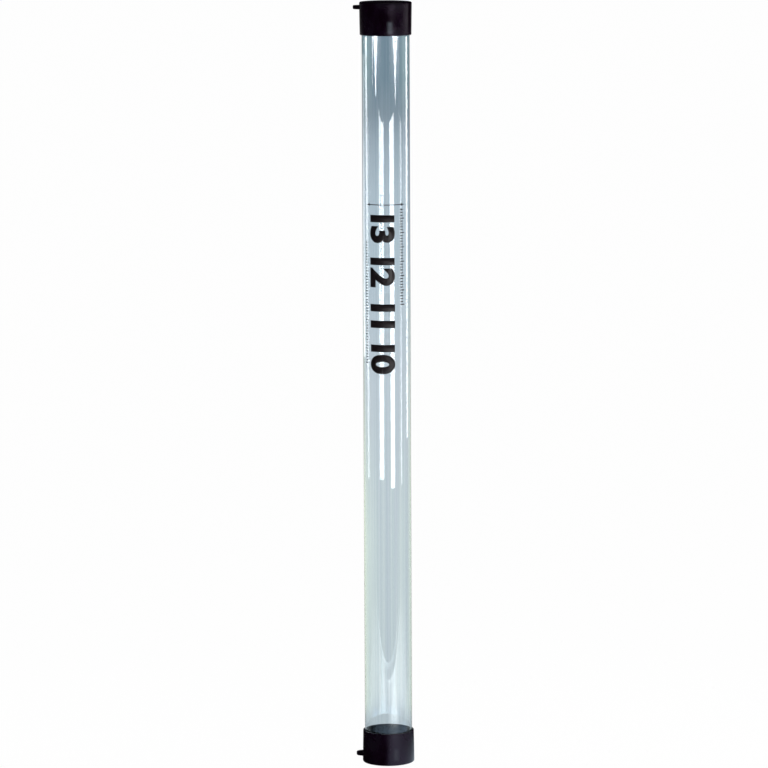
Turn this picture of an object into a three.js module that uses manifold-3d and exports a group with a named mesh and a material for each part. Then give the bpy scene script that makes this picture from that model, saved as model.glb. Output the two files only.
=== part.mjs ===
// Tennis ball pickup tube: a clear tube with a soft cap slipped over each end.
// The lower cap is open, and holds an insert whose tongues let a ball in and keep it there.
// Millimetres, +Z up along the tube, origin in the middle of the face that it stands on.

import * as THREE from 'three';
import { mergeVertices } from 'three/addons/utils/BufferGeometryUtils.js';
import Module from 'manifold-3d';

// Clear tube
const tubeLength = 1149;
const tubeOuterDiameter = 73;
const tubeWall = 1.5;
const tubeEndChamfer = 0.4;

// Soft caps, the same outside at both ends, a little wider at the closed end
const capHeight = 50;
const capFloor = 3;
const capRimWall = 2.45;
const capEndWall = 3.2;
const capEdgeRound = 2.2;
const capRimRound = 0.7;
const capLeadIn = 0.6;

// Strap tab on the side of each cap, with its eyelet
const tabWidth = 17;
const tabThickness = 6;
const tabReach = 12.4;
const tabSetback = 6;
const tabRootFillet = 2.5;
const tabEdgeRound = 1.6;
const eyeletDiameter = 5;
const tabDirection = THREE.MathUtils.degToRad(160);

// Open mouth of the lower cap
const mouthLip = 0.5;
const mouthLeadIn = 1;

// Insert in the lower cap, and the tongues that fold up into its windows
const insertFlange = 1.9;
const insertTopBand = 2.5;
const insertEndChamfer = 0.3;
const tongueCount = 8;
const tongueLength = 15.2;
const tongueRootWidth = 13;
const tongueTipWidth = 9;
const tongueThickness = 1.4;
const tongueTipThickness = 1;

// Clearances
const socketClearance = 0.3;
const seatClearance = 0.3;
const windowClearance = 0.5;
const cutOverrun = 1;

// Facets
const roundSegments = 72;
const eyeletSegments = 18;
const filletSegments = 3;
const outlineSegments = 7;

// Radii and heights that follow from the sizes above
const tubeOuterRadius = tubeOuterDiameter / 2;
const boreRadius = tubeOuterRadius - tubeWall;
const socketRadius = tubeOuterRadius + socketClearance;
const capRimRadius = socketRadius + capRimWall;
const capEndRadius = socketRadius + capEndWall;
const mouthRadius = boreRadius - mouthLip;
const eyeletRadius = eyeletDiameter / 2;
const hingeDrop = tongueThickness / 2 + seatClearance;
const insertHeight = insertFlange + hingeDrop + tongueLength + windowClearance + insertTopBand;
const insertBase = capFloor + seatClearance;
const hingeHeight = insertBase + insertFlange + hingeDrop;
const tubeBase = insertBase + insertHeight + seatClearance;
const overallHeight = tubeBase + tubeLength + seatClearance + capFloor;

// A folded tongue is flat, so its hinge line lies inside the round wall by the depth of its chord.
const hingeRadius = Math.sqrt(tubeOuterRadius ** 2 - (tongueRootWidth / 2) ** 2) - tongueThickness / 2;

const wasm = await Module();
wasm.setup();

// A closed geometry becomes a solid that can be joined and cut.
function toSolid(geometry) {
  geometry.deleteAttribute('normal');
  geometry.deleteAttribute('uv');
  const merged = mergeVertices(geometry);
  const corners = merged.index.array;
  const triangles = [];
  for (let i = 0; i < corners.length; i += 3) {
    const [a, b, c] = corners.slice(i, i + 3);
    if (a !== b && b !== c && c !== a) triangles.push(a, b, c);
  }
  const mesh = new wasm.Mesh({
    numProp: 3,
    vertProperties: new Float32Array(merged.attributes.position.array),
    triVerts: new Uint32Array(triangles),
  });
  mesh.merge();
  return new wasm.Manifold(mesh);
}

function toGeometry(solid) {
  const { vertProperties, triVerts } = solid.getMesh();
  const geometry = new THREE.BufferGeometry();
  geometry.setAttribute('position', new THREE.BufferAttribute(new Float32Array(vertProperties), 3));
  geometry.setIndex(new THREE.BufferAttribute(new Uint32Array(triVerts), 1));
  geometry.computeVertexNormals();
  return geometry;
}

// Turns an outline of radius against height round the Z axis.
function revolve(outline) {
  const geometry = new THREE.LatheGeometry(outline.getPoints(filletSegments), roundSegments);
  return toSolid(geometry.rotateX(Math.PI / 2));
}

function extrude(outline, depth, options = {}) {
  const settings = { depth, bevelEnabled: false, curveSegments: outlineSegments, ...options };
  return new THREE.ExtrudeGeometry(outline, settings);
}

function outlineOf(points) {
  return new THREE.Path(points.map(([radius, height]) => new THREE.Vector2(radius, height)));
}

function tubeSolid() {
  return revolve(outlineOf([
    [boreRadius + tubeEndChamfer, 0],
    [tubeOuterRadius - tubeEndChamfer, 0],
    [tubeOuterRadius, tubeEndChamfer],
    [tubeOuterRadius, tubeLength - tubeEndChamfer],
    [tubeOuterRadius - tubeEndChamfer, tubeLength],
    [boreRadius + tubeEndChamfer, tubeLength],
    [boreRadius, tubeLength - tubeEndChamfer],
    [boreRadius, tubeEndChamfer],
    [boreRadius + tubeEndChamfer, 0],
  ]));
}

// The outside of a cap, closed end down: flat end, rounded edge, drafted side and a soft rim.
function capBlank() {
  const outline = new THREE.Path();
  outline.moveTo(0, 0);
  outline.lineTo(capEndRadius - capEdgeRound, 0);
  outline.absarc(capEndRadius - capEdgeRound, capEdgeRound, capEdgeRound, -Math.PI / 2, 0, false);
  outline.absarc(capRimRadius - capRimRound, capHeight - capRimRound, capRimRound, 0, Math.PI / 2, false);
  outline.lineTo(0, capHeight);
  return revolve(outline);
}

// The socket that the tube slips into, widened at the rim so that the tube finds its way in.
function capSocket() {
  return revolve(outlineOf([
    [0, capFloor],
    [socketRadius, capFloor],
    [socketRadius, capHeight - capLeadIn],
    [socketRadius + capLeadIn + cutOverrun, capHeight + cutOverrun],
    [0, capHeight + cutOverrun],
  ]));
}

function mouthCut() {
  return revolve(outlineOf([
    [0, -cutOverrun],
    [mouthRadius + mouthLeadIn + cutOverrun, -cutOverrun],
    [mouthRadius, mouthLeadIn],
    [mouthRadius, capFloor + cutOverrun],
    [0, capFloor + cutOverrun],
  ]));
}

// A flat tab that stands out along +X, with a round end, soft edges and a flare where it leaves the cap.
function tabSolid() {
  const halfWidth = tabWidth / 2;
  const middle = tabSetback + tabThickness / 2;
  const sideRadius = THREE.MathUtils.lerp(capEndRadius, capRimRadius, middle / capHeight);
  const tipCentre = capEndRadius + tabReach - halfWidth;
  const flareStart = Math.sqrt(sideRadius ** 2 - (halfWidth + tabRootFillet) ** 2);
  const flareEnd = flareStart + tabRootFillet;
  const flareCentre = halfWidth + tabRootFillet;

  const outline = new THREE.Shape();
  outline.moveTo(0, -flareCentre);
  outline.lineTo(flareStart, -flareCentre);
  outline.absarc(flareEnd, -flareCentre, tabRootFillet, Math.PI, Math.PI / 2, true);
  outline.absarc(tipCentre, 0, halfWidth, -Math.PI / 2, Math.PI / 2, false);
  outline.absarc(flareEnd, flareCentre, tabRootFillet, -Math.PI / 2, -Math.PI, true);
  outline.lineTo(0, flareCentre);

  const plate = extrude(outline, tabThickness - 2 * tabEdgeRound, {
    bevelEnabled: true,
    bevelSize: tabEdgeRound,
    bevelThickness: tabEdgeRound,
    bevelOffset: -tabEdgeRound,
    bevelSegments: filletSegments,
  });
  plate.translate(0, 0, tabSetback + tabEdgeRound);

  const eyelet = new THREE.CylinderGeometry(
    eyeletRadius, eyeletRadius, tabThickness + 2 * cutOverrun, eyeletSegments);
  eyelet.rotateX(Math.PI / 2).translate(tipCentre, 0, middle);
  return toSolid(plate).subtract(toSolid(eyelet));
}

function topCapSolid() {
  return capBlank().add(tabSolid()).subtract(capSocket());
}

function pickupCollarSolid() {
  return topCapSolid().subtract(mouthCut());
}

// The outline of a tongue from its hinge line along +X, its sides running smoothly into a round tip.
function tongueOutline(start, margin) {
  const tipRadius = tongueTipWidth / 2 + margin;
  const rootHalf = tongueRootWidth / 2 + margin;
  const tipCentre = tongueLength + margin - tipRadius;
  const lean = Math.acos(tipRadius / Math.hypot(rootHalf, tipCentre)) - Math.atan2(tipCentre, rootHalf);
  const tangent = Math.PI / 2 - lean;

  const outline = new THREE.Shape();
  outline.moveTo(start, -rootHalf);
  outline.lineTo(0, -rootHalf);
  outline.absarc(tipCentre, 0, tipRadius, -tangent, tangent, false);
  outline.lineTo(0, rootHalf);
  outline.lineTo(start, rootHalf);
  return outline;
}

// The insert: a sleeve as thick as the tube, on a flange, with a window for each tongue.
function insertSolid() {
  const sleeve = revolve(outlineOf([
    [mouthRadius + insertEndChamfer, 0],
    [tubeOuterRadius - insertEndChamfer, 0],
    [tubeOuterRadius, insertEndChamfer],
    [tubeOuterRadius, insertHeight - insertEndChamfer],
    [tubeOuterRadius - insertEndChamfer, insertHeight],
    [boreRadius + insertEndChamfer, insertHeight],
    [boreRadius, insertHeight - insertEndChamfer],
    [boreRadius, insertFlange],
    [mouthRadius, insertFlange],
    [mouthRadius, insertEndChamfer],
    [mouthRadius + insertEndChamfer, 0],
  ]));
  const cutDepth = tubeWall + mouthLip + 2 * cutOverrun;
  const cuts = [];
  for (let i = 0; i < tongueCount; i += 1) {
    const window = extrude(tongueOutline(-hingeDrop, windowClearance), cutDepth);
    window.rotateY(-Math.PI / 2);
    window.translate(tubeOuterRadius + cutOverrun, 0, insertFlange + hingeDrop);
    window.rotateZ(i * 2 * Math.PI / tongueCount);
    cuts.push(toSolid(window));
  }
  return cuts.reduce((body, cut) => body.subtract(cut), sleeve);
}

// A tongue lies along -X from its hinge line, round at the heel and thinner towards the tip.
function tongueSolid() {
  const heel = tongueThickness / 2;
  const side = new THREE.Shape();
  side.moveTo(0, -heel);
  side.absarc(0, 0, heel, -Math.PI / 2, Math.PI / 2, false);
  side.lineTo(-tongueLength, tongueTipThickness - heel);
  side.lineTo(-tongueLength, -heel);
  const slab = extrude(side, tongueRootWidth);
  slab.rotateX(Math.PI / 2).translate(0, tongueRootWidth / 2, 0);

  const plan = extrude(tongueOutline(-heel, 0), 2 * tongueThickness);
  plan.rotateZ(Math.PI).translate(0, 0, -tongueThickness);
  return toSolid(slab).intersect(toSolid(plan));
}

const softBlack = new THREE.MeshStandardMaterial({ color: 0x0b090c, roughness: 0.5, metalness: 0 });
const clearPlastic = new THREE.MeshStandardMaterial({
  color: 0xdde7ec, roughness: 0.06, metalness: 0, transparent: true, opacity: 0.35,
});
const insertPlastic = new THREE.MeshStandardMaterial({ color: 0x1a1b1e, roughness: 0.38, metalness: 0 });
const tonguePlastic = new THREE.MeshStandardMaterial({ color: 0x22242a, roughness: 0.34, metalness: 0 });

function part(name, solid, material) {
  const mesh = new THREE.Mesh(toGeometry(solid), material);
  mesh.name = name;
  return mesh;
}

const pickupTube = new THREE.Group();

const clearTube = part('clear_tube', tubeSolid(), clearPlastic);
clearTube.position.z = tubeBase;
pickupTube.add(clearTube);

// Both tabs point the same way, so one strap can run from cap to cap.
const turnedToTab = new THREE.Group();
turnedToTab.rotation.z = tabDirection;
pickupTube.add(turnedToTab);

const pickupCollar = part('pickup_collar', pickupCollarSolid(), softBlack);
turnedToTab.add(pickupCollar);

const topCap = part('top_cap', topCapSolid(), softBlack);
topCap.rotation.x = Math.PI;
topCap.position.z = overallHeight;
turnedToTab.add(topCap);

const retainerInsert = part('retainer_insert', insertSolid(), insertPlastic);
retainerInsert.position.z = insertBase;
pickupTube.add(retainerInsert);

for (let i = 0; i < tongueCount; i += 1) {
  const turned = new THREE.Group();
  turned.rotation.z = i * 2 * Math.PI / tongueCount;
  const tongue = part(`tongue_${i + 1}`, tongueSolid(), tonguePlastic);
  tongue.position.set(hingeRadius, 0, hingeHeight);
  turned.add(tongue);
  pickupTube.add(turned);
}

export default pickupTube;
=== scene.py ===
# %% [markdown]
# # A tennis ball pickup tube
#
# The object is a clear plastic tube, a little wider than a tennis ball, with a soft black cap slipped over
# each end. The lower cap is open, and inside it a ring of springy tongues lets a ball in and holds it.
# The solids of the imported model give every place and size, so loading them comes first.

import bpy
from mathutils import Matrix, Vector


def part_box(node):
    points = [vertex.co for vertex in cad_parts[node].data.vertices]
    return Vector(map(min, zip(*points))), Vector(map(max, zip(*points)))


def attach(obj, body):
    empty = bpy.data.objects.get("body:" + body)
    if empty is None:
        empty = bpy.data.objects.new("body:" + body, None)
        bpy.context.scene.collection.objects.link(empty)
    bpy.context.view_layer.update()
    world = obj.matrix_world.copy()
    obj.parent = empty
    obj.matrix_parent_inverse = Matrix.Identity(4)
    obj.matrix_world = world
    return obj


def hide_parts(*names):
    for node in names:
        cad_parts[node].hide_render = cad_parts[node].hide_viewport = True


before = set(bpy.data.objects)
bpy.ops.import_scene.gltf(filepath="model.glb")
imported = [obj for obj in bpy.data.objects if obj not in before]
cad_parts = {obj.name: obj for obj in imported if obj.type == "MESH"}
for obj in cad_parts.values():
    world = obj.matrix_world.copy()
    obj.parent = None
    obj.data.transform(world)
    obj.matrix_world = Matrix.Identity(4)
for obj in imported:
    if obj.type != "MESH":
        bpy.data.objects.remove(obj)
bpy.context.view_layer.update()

# %% [markdown]
# The camera comes early, because every later choice is judged through it. The photograph was taken from
# nearly seven metres away, from a little above the tube's top, with a long lens. Its place was found by
# fitting the edges of the tube and the rims of the caps, whose ellipses open wider towards the bottom.

# %% Place the camera
import math

import bpy
from mathutils import Matrix, Vector

CAMERA_PLACE = (0, -6.6933, 1.568)
CAMERA_PITCH = 0.1449
CAMERA_TURN = 0.0007
CAMERA_ROLL = -0.0044
LENS_LENGTH = 206.58
SENSOR_WIDTH = 36

camera_lens = bpy.data.cameras.new("camera")
camera_lens.lens = LENS_LENGTH
camera_lens.sensor_width = SENSOR_WIDTH
camera = bpy.data.objects.new("camera", camera_lens)
bpy.context.scene.collection.objects.link(camera)
camera.matrix_world = (
    Matrix.Translation(CAMERA_PLACE)
    @ Matrix.Rotation(CAMERA_TURN, 4, "Z")
    @ Matrix.Rotation(math.pi / 2 - CAMERA_PITCH, 4, "X")
    @ Matrix.Rotation(CAMERA_ROLL, 4, "Z")
)
bpy.context.scene.camera = camera
bpy.context.scene.view_settings.view_transform = "Standard"
print("camera at", CAMERA_PLACE, "with a", round(LENS_LENGTH), "mm lens")

# %% [markdown]
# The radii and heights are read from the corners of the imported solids, not typed in again. A dressed piece
# that starts from them can't drift away from the solid that it stands for.

# %% Read the sizes from the solids
MM = 0.001
SAME_HEIGHT = 1e-6


def reach(node, low, high):
    """Least and greatest distance from the axis among a solid's corners between two heights."""
    low, high = low - SAME_HEIGHT, high + SAME_HEIGHT
    corners = [v.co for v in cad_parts[node].data.vertices if low <= v.co.z <= high]
    spans = [math.hypot(c.x, c.y) for c in corners]
    return min(spans), max(spans)


TUBE_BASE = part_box("clear_tube")[0].z
TUBE_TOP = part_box("clear_tube")[1].z
BORE_RADIUS, TUBE_RADIUS = reach("clear_tube", TUBE_BASE, TUBE_TOP)
CAP_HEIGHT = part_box("pickup_collar")[1].z
TOP_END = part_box("top_cap")[1].z
print("tube radii, mm:", round(BORE_RADIUS / MM, 2), round(TUBE_RADIUS / MM, 2))
print("tube from", round(TUBE_BASE / MM, 1), "to", round(TUBE_TOP / MM, 1), "mm")
print("overall height", round(TOP_END / MM, 1), "mm")

# %% [markdown]
# Most of the object is round, so most pieces start as a profile turned about the tube's axis, as on a
# lathe. Moulded and cut plastic never has a knife edge, so each corner of a profile carries a small
# rounding. These rounded edges are what catches the light and makes a piece look real.

# %% Helpers that round a profile and turn it
import bmesh

ROUND_SEGMENTS = 192
SAME_PLACE = 1e-7


def soften(corners, steps=5):
    """Turns corners of (radius, height, rounding) into a profile with round edges."""
    profile = []
    for i, (radius, height, rounding) in enumerate(corners):
        corner = Vector((radius, height))
        if not rounding:
            profile.append(corner)
            continue
        back = (Vector(corners[i - 1][:2]) - corner).normalized()
        ahead = (Vector(corners[(i + 1) % len(corners)][:2]) - corner).normalized()
        half = back.angle(ahead) / 2
        centre = corner + (back + ahead).normalized() * rounding / math.sin(half)
        start = corner + back * rounding / math.tan(half) - centre
        end = corner + ahead * rounding / math.tan(half) - centre
        for step in range(steps + 1):
            profile.append(centre + start.slerp(end, step / steps).normalized() * rounding)
    return profile


def piece_from(name, build):
    """Puts a finished mesh into the scene as a smooth piece at the origin."""
    bmesh.ops.remove_doubles(build, verts=build.verts, dist=SAME_PLACE)
    bmesh.ops.recalc_face_normals(build, faces=build.faces)
    mesh = bpy.data.meshes.new(name)
    build.to_mesh(mesh)
    build.free()
    mesh.shade_smooth()
    piece = bpy.data.objects.new(name, mesh)
    bpy.context.scene.collection.objects.link(piece)
    return piece


def revolve(name, profile, segments=ROUND_SEGMENTS):
    """Turns a closed profile of (radius, height) about Z."""
    build = bmesh.new()
    rings = []
    for radius, height in profile:
        count = segments if radius > SAME_PLACE else 1
        turns = [2 * math.pi * k / segments for k in range(count)]
        places = [(radius * math.cos(turn), radius * math.sin(turn), height) for turn in turns]
        rings.append([build.verts.new(place) for place in places])
    for ring, following in zip(rings, rings[1:] + rings[:1]):
        if len(ring) == len(following) == 1:
            continue
        for k in range(segments):
            corners = [ring[k % len(ring)], ring[(k + 1) % segments % len(ring)]]
            corners += [following[(k + 1) % segments % len(following)], following[k % len(following)]]
            build.faces.new(list(dict.fromkeys(corners)))
    return piece_from(name, build)


# %% [markdown]
# The tube is one extruded length of clear plastic, sawn square and lightly deburred. It could be a single
# thin skin, but a solid wall with an outer and an inner face refracts as the real one does, so its edges
# darken and the front and the back wall both mirror the lamps. Rings along its length keep the long faces
# short, for a smooth and true reflection.

# %% Clear tube
TUBE_SEGMENTS = 256
TUBE_END_ROUND = 0.4 * MM
TUBE_RING_SPACING = 12 * MM
END_RING_INSET = 0.5 * MM


def upright_wall(radius, low, high, spacing):
    """Corners up a straight wall, a little inside its two ends and evenly spaced between them."""
    low, high = low + END_RING_INSET, high - END_RING_INSET
    count = max(1, round((high - low) / spacing))
    return [(radius, low + (high - low) * k / count, 0) for k in range(count + 1)]


wall_low = TUBE_BASE + TUBE_END_ROUND
wall_high = TUBE_TOP - TUBE_END_ROUND
outer_wall = upright_wall(TUBE_RADIUS, wall_low, wall_high, TUBE_RING_SPACING)
inner_wall = upright_wall(BORE_RADIUS, wall_low, wall_high, TUBE_RING_SPACING)
tube = revolve("clear_tube_wall", soften([
    (BORE_RADIUS, TUBE_BASE, TUBE_END_ROUND),
    (TUBE_RADIUS, TUBE_BASE, TUBE_END_ROUND),
    *outer_wall,
    (TUBE_RADIUS, TUBE_TOP, TUBE_END_ROUND),
    (BORE_RADIUS, TUBE_TOP, TUBE_END_ROUND),
    *reversed(inner_wall),
], steps=4), TUBE_SEGMENTS)
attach(tube, "tube")
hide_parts("clear_tube")
print("tube wall:", len(tube.data.polygons), "faces,", len(outer_wall), "rings")

# %% [markdown]
# Each cap is moulded in soft black vinyl: a flat closed end, a side that narrows slightly towards the rim,
# and a socket that the tube slips into. The blank is the same for both caps, drawn with its closed end
# down, so one profile serves twice. The closed end's edge is generously rounded and the rim only a little.

# %% Profiles of the two caps
CAP_FLOOR = 3 * MM
CAP_EDGE_ROUND = 2.2 * MM
CAP_RIM_ROUND = 0.7 * MM
CAP_LEAD_IN = 0.6 * MM
FLOOR_FILLET = 0.6 * MM
LEAD_IN_ROUND = 0.3 * MM
GATE_RADIUS = 2.4 * MM
GATE_DEPTH = 0.35 * MM
GATE_ROUND = 0.2 * MM
MOUTH_ROUND = 0.9 * MM
MOUTH_EDGE_ROUND = 0.2 * MM
SIDE_RING_SHARES = [0.12, 0.3, 0.5, 0.7, 0.88]

RIM_START = CAP_HEIGHT - CAP_RIM_ROUND
LEAD_IN_START = CAP_HEIGHT - CAP_LEAD_IN
CAP_END_RADIUS = reach("pickup_collar", CAP_EDGE_ROUND, CAP_EDGE_ROUND)[1]
CAP_RIM_RADIUS = reach("pickup_collar", RIM_START, RIM_START)[1]
SOCKET_RADIUS = reach("pickup_collar", LEAD_IN_START, LEAD_IN_START)[0]
MOUTH_RADIUS = reach("pickup_collar", CAP_FLOOR, CAP_FLOOR)[0]


def side_radius(height):
    """Radius of a cap's outside at a height above its closed end."""
    share = (height - CAP_EDGE_ROUND) / (RIM_START - CAP_EDGE_ROUND)
    return CAP_END_RADIUS + (CAP_RIM_RADIUS - CAP_END_RADIUS) * share


def outside_of_cap():
    """Corners up the outside, over the rim and down to the socket."""
    side = [(side_radius(CAP_HEIGHT * share), CAP_HEIGHT * share, 0) for share in SIDE_RING_SHARES]
    return [
        (CAP_END_RADIUS, 0, CAP_EDGE_ROUND),
        *side,
        (CAP_RIM_RADIUS, CAP_HEIGHT, CAP_RIM_ROUND),
        (SOCKET_RADIUS + CAP_LEAD_IN, CAP_HEIGHT, LEAD_IN_ROUND),
        (SOCKET_RADIUS, LEAD_IN_START, LEAD_IN_ROUND),
    ]


closed_profile = soften([
    (0, GATE_DEPTH, 0),
    (GATE_RADIUS, GATE_DEPTH, GATE_ROUND),
    (GATE_RADIUS + GATE_DEPTH, 0, GATE_ROUND),
    *outside_of_cap(),
    (SOCKET_RADIUS, CAP_FLOOR, FLOOR_FILLET),
    (0, CAP_FLOOR, 0),
], steps=8)
open_profile = soften([
    (MOUTH_RADIUS, 0, MOUTH_ROUND),
    *outside_of_cap(),
    (SOCKET_RADIUS, CAP_FLOOR, MOUTH_EDGE_ROUND),
    (MOUTH_RADIUS, CAP_FLOOR, MOUTH_EDGE_ROUND),
], steps=8)
cap_radii = (CAP_END_RADIUS, CAP_RIM_RADIUS, SOCKET_RADIUS, MOUTH_RADIUS)
print("cap radii, mm:", [round(radius / MM, 2) for radius in cap_radii])

# %% [markdown]
# A strap tab stands out from the side of each cap. It is a flat tongue of the same vinyl with a round end,
# soft edges and a flare where it grows out of the wall. A plate with round edges can be stacked up from
# copies of its outline, each drawn in a little further towards the faces. The same helper later makes the
# ball retainer's tongues.

# %% A helper for plates with round edges
EDGE_STEPS = 5
SLIVER = 1e-8


def soft_plate(outline, low, high, rounding, across=10):
    """Builds a plate with round edges, its length along X and its thickness along Z.

    outline(inset) gives (along, half width) pairs from the root to the tip, and low(along) and
    high(along) give the heights of its two faces.
    """
    build = bmesh.new()

    def level(angle, upper):
        inset = rounding * (1 - math.cos(angle))
        places = []
        for along, half in outline(inset):
            soft = min(rounding, (high(along) - low(along)) / 2)
            face = high(along) - soft if upper else low(along) + soft
            places.append((along, half, face + soft * math.sin(angle)))
        return places

    def stitch(rows):
        corners = [[build.verts.new(place) for place in row] for row in rows]
        for row, following in zip(corners, corners[1:]):
            for a, b, c, d in zip(row, row[1:], following[1:], following):
                build.faces.new((a, b, c, d))

    quarter = [math.pi / 2 * k / EDGE_STEPS for k in range(EDGE_STEPS + 1)]
    levels = [level(-angle, False) for angle in reversed(quarter)]
    levels += [level(angle, True) for angle in quarter]
    for side in (1, -1):
        stitch([[(x, side * y, z) for x, y, z in row] for row in levels])
    for face in (levels[0], levels[-1]):
        columns = [1 - 2 * k / across for k in range(across + 1)]
        stitch([[(x, y * share, z) for share in columns] for x, y, z in face])
    base = [row[0] for row in levels]
    stitch([[(x, y * share, z) for share in (1, -1)] for x, y, z in base])
    bmesh.ops.remove_doubles(build, verts=build.verts, dist=SAME_PLACE)
    bmesh.ops.dissolve_degenerate(build, dist=SLIVER, edges=build.edges)
    return build


# %% [markdown]
# The tab's outline has a concave flare at the root and half a circle at the tip. Near the wall its faces
# also swell outwards like the bell of a trumpet, as vinyl does in a mould with rounded corners. Modelling
# the swell as a formula on the finished plate is simpler than drawing it.

# %% Strap tab
TAB_WIDTH = 17 * MM
TAB_THICKNESS = 6 * MM
TAB_REACH = 12.4 * MM
TAB_SETBACK = 6 * MM
TAB_ROOT_FLARE = 2.5 * MM
TAB_EDGE_ROUND = 1.6 * MM
TAB_BELL = 1.1 * MM
TAB_BURIED = 0.7 * MM
TAB_COLUMNS = 18
TAB_MIDDLE = TAB_SETBACK + TAB_THICKNESS / 2
TAB_TIP_CENTRE = CAP_END_RADIUS + TAB_REACH - TAB_WIDTH / 2
FLARE_STEPS = 8
TIP_STEPS = 16


def tab_outline(inset):
    """Half of the tab's outline, from inside the wall to the tip."""
    half = TAB_WIDTH / 2
    flare_centre = half + TAB_ROOT_FLARE
    start = math.sqrt(side_radius(TAB_MIDDLE) ** 2 - flare_centre ** 2)
    buried = SOCKET_RADIUS + TAB_BURIED
    places = [(buried, flare_centre)]
    for k in range(FLARE_STEPS + 1):
        turn = math.pi + math.pi / 2 * k / FLARE_STEPS
        radius = TAB_ROOT_FLARE + inset
        x = start + TAB_ROOT_FLARE + radius * math.cos(turn)
        places.append((max(x, buried), flare_centre + radius * math.sin(turn)))
    for k in range(TIP_STEPS + 1):
        turn = math.pi / 2 * (1 - k / TIP_STEPS)
        radius = half - inset
        places.append((TAB_TIP_CENTRE + radius * math.cos(turn), radius * math.sin(turn)))
    return places


def flared(build):
    """Swells the tab's two faces where they meet the cap's side."""
    for vertex in build.verts:
        x, y, z = vertex.co
        gap = max(0.0, math.hypot(x, y) - side_radius(z))
        if gap < TAB_BELL:
            lift = TAB_BELL - math.sqrt(TAB_BELL ** 2 - (TAB_BELL - gap) ** 2)
            vertex.co.z += lift * (z - TAB_MIDDLE) / (TAB_THICKNESS / 2)
    return build


def strap_tab():
    """The tab as a closed piece, pointing along +X."""
    low = TAB_MIDDLE - TAB_THICKNESS / 2
    high = TAB_MIDDLE + TAB_THICKNESS / 2
    faces = (lambda along: low), (lambda along: high)
    build = soft_plate(tab_outline, *faces, TAB_EDGE_ROUND, across=TAB_COLUMNS)
    return piece_from("strap_tab", flared(build))


print("tab tip at radius", round((CAP_END_RADIUS + TAB_REACH) / MM, 1), "mm")

# %% [markdown]
# An eyelet for a strap goes through the tab. A plain cylinder would cut it with a sharp edge, so the tool is
# shaped like a cotton reel, and the edges come out round.

# %% Eyelet
EYELET_RADIUS = 2.5 * MM
EYELET_ROUND = 0.7 * MM
EYELET_STEPS = 6
EYELET_SEGMENTS = 48
CUT_OVERRUN = 1 * MM


def eyelet_tool():
    """A reel that cuts the eyelet and rounds its edges."""
    lip = EYELET_RADIUS + EYELET_ROUND
    half = TAB_THICKNESS / 2
    end = half + CUT_OVERRUN
    upper = []
    for k in range(EYELET_STEPS + 1):
        turn = math.pi / 2 * k / EYELET_STEPS
        height = half - EYELET_ROUND + EYELET_ROUND * math.sin(turn)
        upper.append((lip - EYELET_ROUND * math.cos(turn), height))
    upper.append((lip, end))
    lower = [(radius, -height) for radius, height in reversed(upper)]
    reel = revolve("eyelet_tool", [(0, -end), *lower, *upper, (0, end)], EYELET_SEGMENTS)
    reel.data.transform(Matrix.Translation((TAB_TIP_CENTRE, 0, TAB_MIDDLE)))
    return reel


print("eyelet at radius", round(TAB_TIP_CENTRE / MM, 1), "mm")

# %% [markdown]
# Blank, tab and eyelet are joined and cut with Boolean modifiers, and the result is kept as a plain mesh.
# The same steps make both caps. The upper one is then turned over, and both are turned so that their tabs
# point to the left and a little to the back, on one line, as a strap between them needs.

# %% Top cap and lower cap
TAB_DIRECTION = math.radians(160)
SHARP_BEND = 38


def shaped(piece, tool, operation):
    """Joins or cuts a piece with a tool, keeps the result, and puts the tool away."""
    step = piece.modifiers.new("shape", "BOOLEAN")
    step.operation = operation
    step.object = tool
    step.solver = "EXACT"
    result = bpy.data.meshes.new_from_object(piece.evaluated_get(bpy.context.evaluated_depsgraph_get()))
    piece.modifiers.clear()
    piece.data = result
    bpy.data.objects.remove(tool)
    return piece


def smooth_faces(piece):
    """Shades smoothly over gentle bends and keeps the sharp ones, with flat faces staying flat."""
    piece.data.shade_smooth()
    piece.data.set_sharp_from_angle(angle=math.radians(SHARP_BEND))
    weigh = piece.modifiers.new("flat faces stay flat", "WEIGHTED_NORMAL")
    weigh.keep_sharp = True


def moulded_cap(name, profile):
    """A cap with its tab and eyelet, closed end down."""
    cap = revolve(name, profile)
    tab = shaped(strap_tab(), eyelet_tool(), "DIFFERENCE")
    shaped(cap, tab, "UNION")
    return cap


turned_to_tab = Matrix.Rotation(TAB_DIRECTION, 4, "Z")
lower_cap = moulded_cap("open_cap", open_profile)
lower_cap.data.transform(turned_to_tab)
turned_over = Matrix.Translation((0, 0, TOP_END)) @ Matrix.Rotation(math.pi, 4, "X")
upper_cap = moulded_cap("closed_cap", closed_profile)
upper_cap.data.transform(turned_to_tab @ turned_over)
for cap, body, node in ((lower_cap, "collar", "pickup_collar"), (upper_cap, "cap", "top_cap")):
    smooth_faces(cap)
    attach(cap, body)
    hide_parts(node)
    print(cap.name, len(cap.data.polygons), "faces")

# %% [markdown]
# Between the lower cap's floor and the tube's end sits the ball retainer. Its body is a short sleeve on a
# flange, as thick as the tube's wall, with eight windows. Each window follows the outline of the tongue
# that folds up into it, with a narrow gap all round, so the tongue's outline is needed first.

# %% Outline of a tongue
TONGUE_COUNT = 8
TONGUE_LENGTH = 15.2 * MM
TONGUE_ROOT_HALF = 6.5 * MM
TONGUE_TIP_RADIUS = 4.5 * MM
TONGUE_HEEL = 0.7 * MM
TONGUE_TIP_TOP = 0.3 * MM
FLANGE_THICKNESS = 1.9 * MM
HINGE_LIFT = 1 * MM
SLEEVE_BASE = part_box("retainer_insert")[0].z
SLEEVE_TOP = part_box("retainer_insert")[1].z
FLANGE_TOP = SLEEVE_BASE + FLANGE_THICKNESS
HINGE_HEIGHT = FLANGE_TOP + HINGE_LIFT
HINGE_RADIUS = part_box("tongue_1")[1].x - TONGUE_HEEL


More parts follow.
